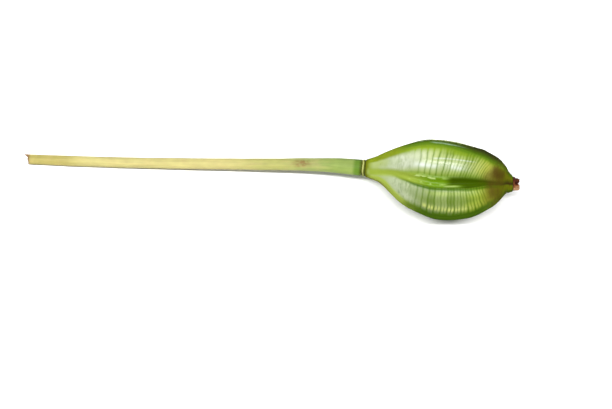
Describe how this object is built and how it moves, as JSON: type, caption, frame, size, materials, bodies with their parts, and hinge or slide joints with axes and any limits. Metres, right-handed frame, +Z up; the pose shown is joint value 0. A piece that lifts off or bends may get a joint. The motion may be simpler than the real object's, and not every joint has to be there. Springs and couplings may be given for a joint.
{
  "type": "tulip seed capsule",
  "caption": "Green tulip seed capsule with blunt corner ridges, seamed pale panels barred by seeds, a withered stigma and a cut stem, lying on its side.",
  "frame": {"origin": "centre of the small flat under the capsule, where it bears on the surface it lies on", "axes": "+X along the object from the cut end of the stem to the beak, +Z up from the surface, +Y completes the right-handed set"},
  "size_m": [0.1596, 0.0255, 0.0242],
  "materials": {
    "stem_skin": "satin",
    "scar_tissue": "matte",
    "capsule_skin": "gloss",
    "withered_tissue": "matte"
  },
  "bodies": {
    "root": {"stem": "stem_skin", "scar_ring": "scar_tissue", "capsule": "capsule_skin", "stigma": "withered_tissue"}
  },
  "joints": []
}
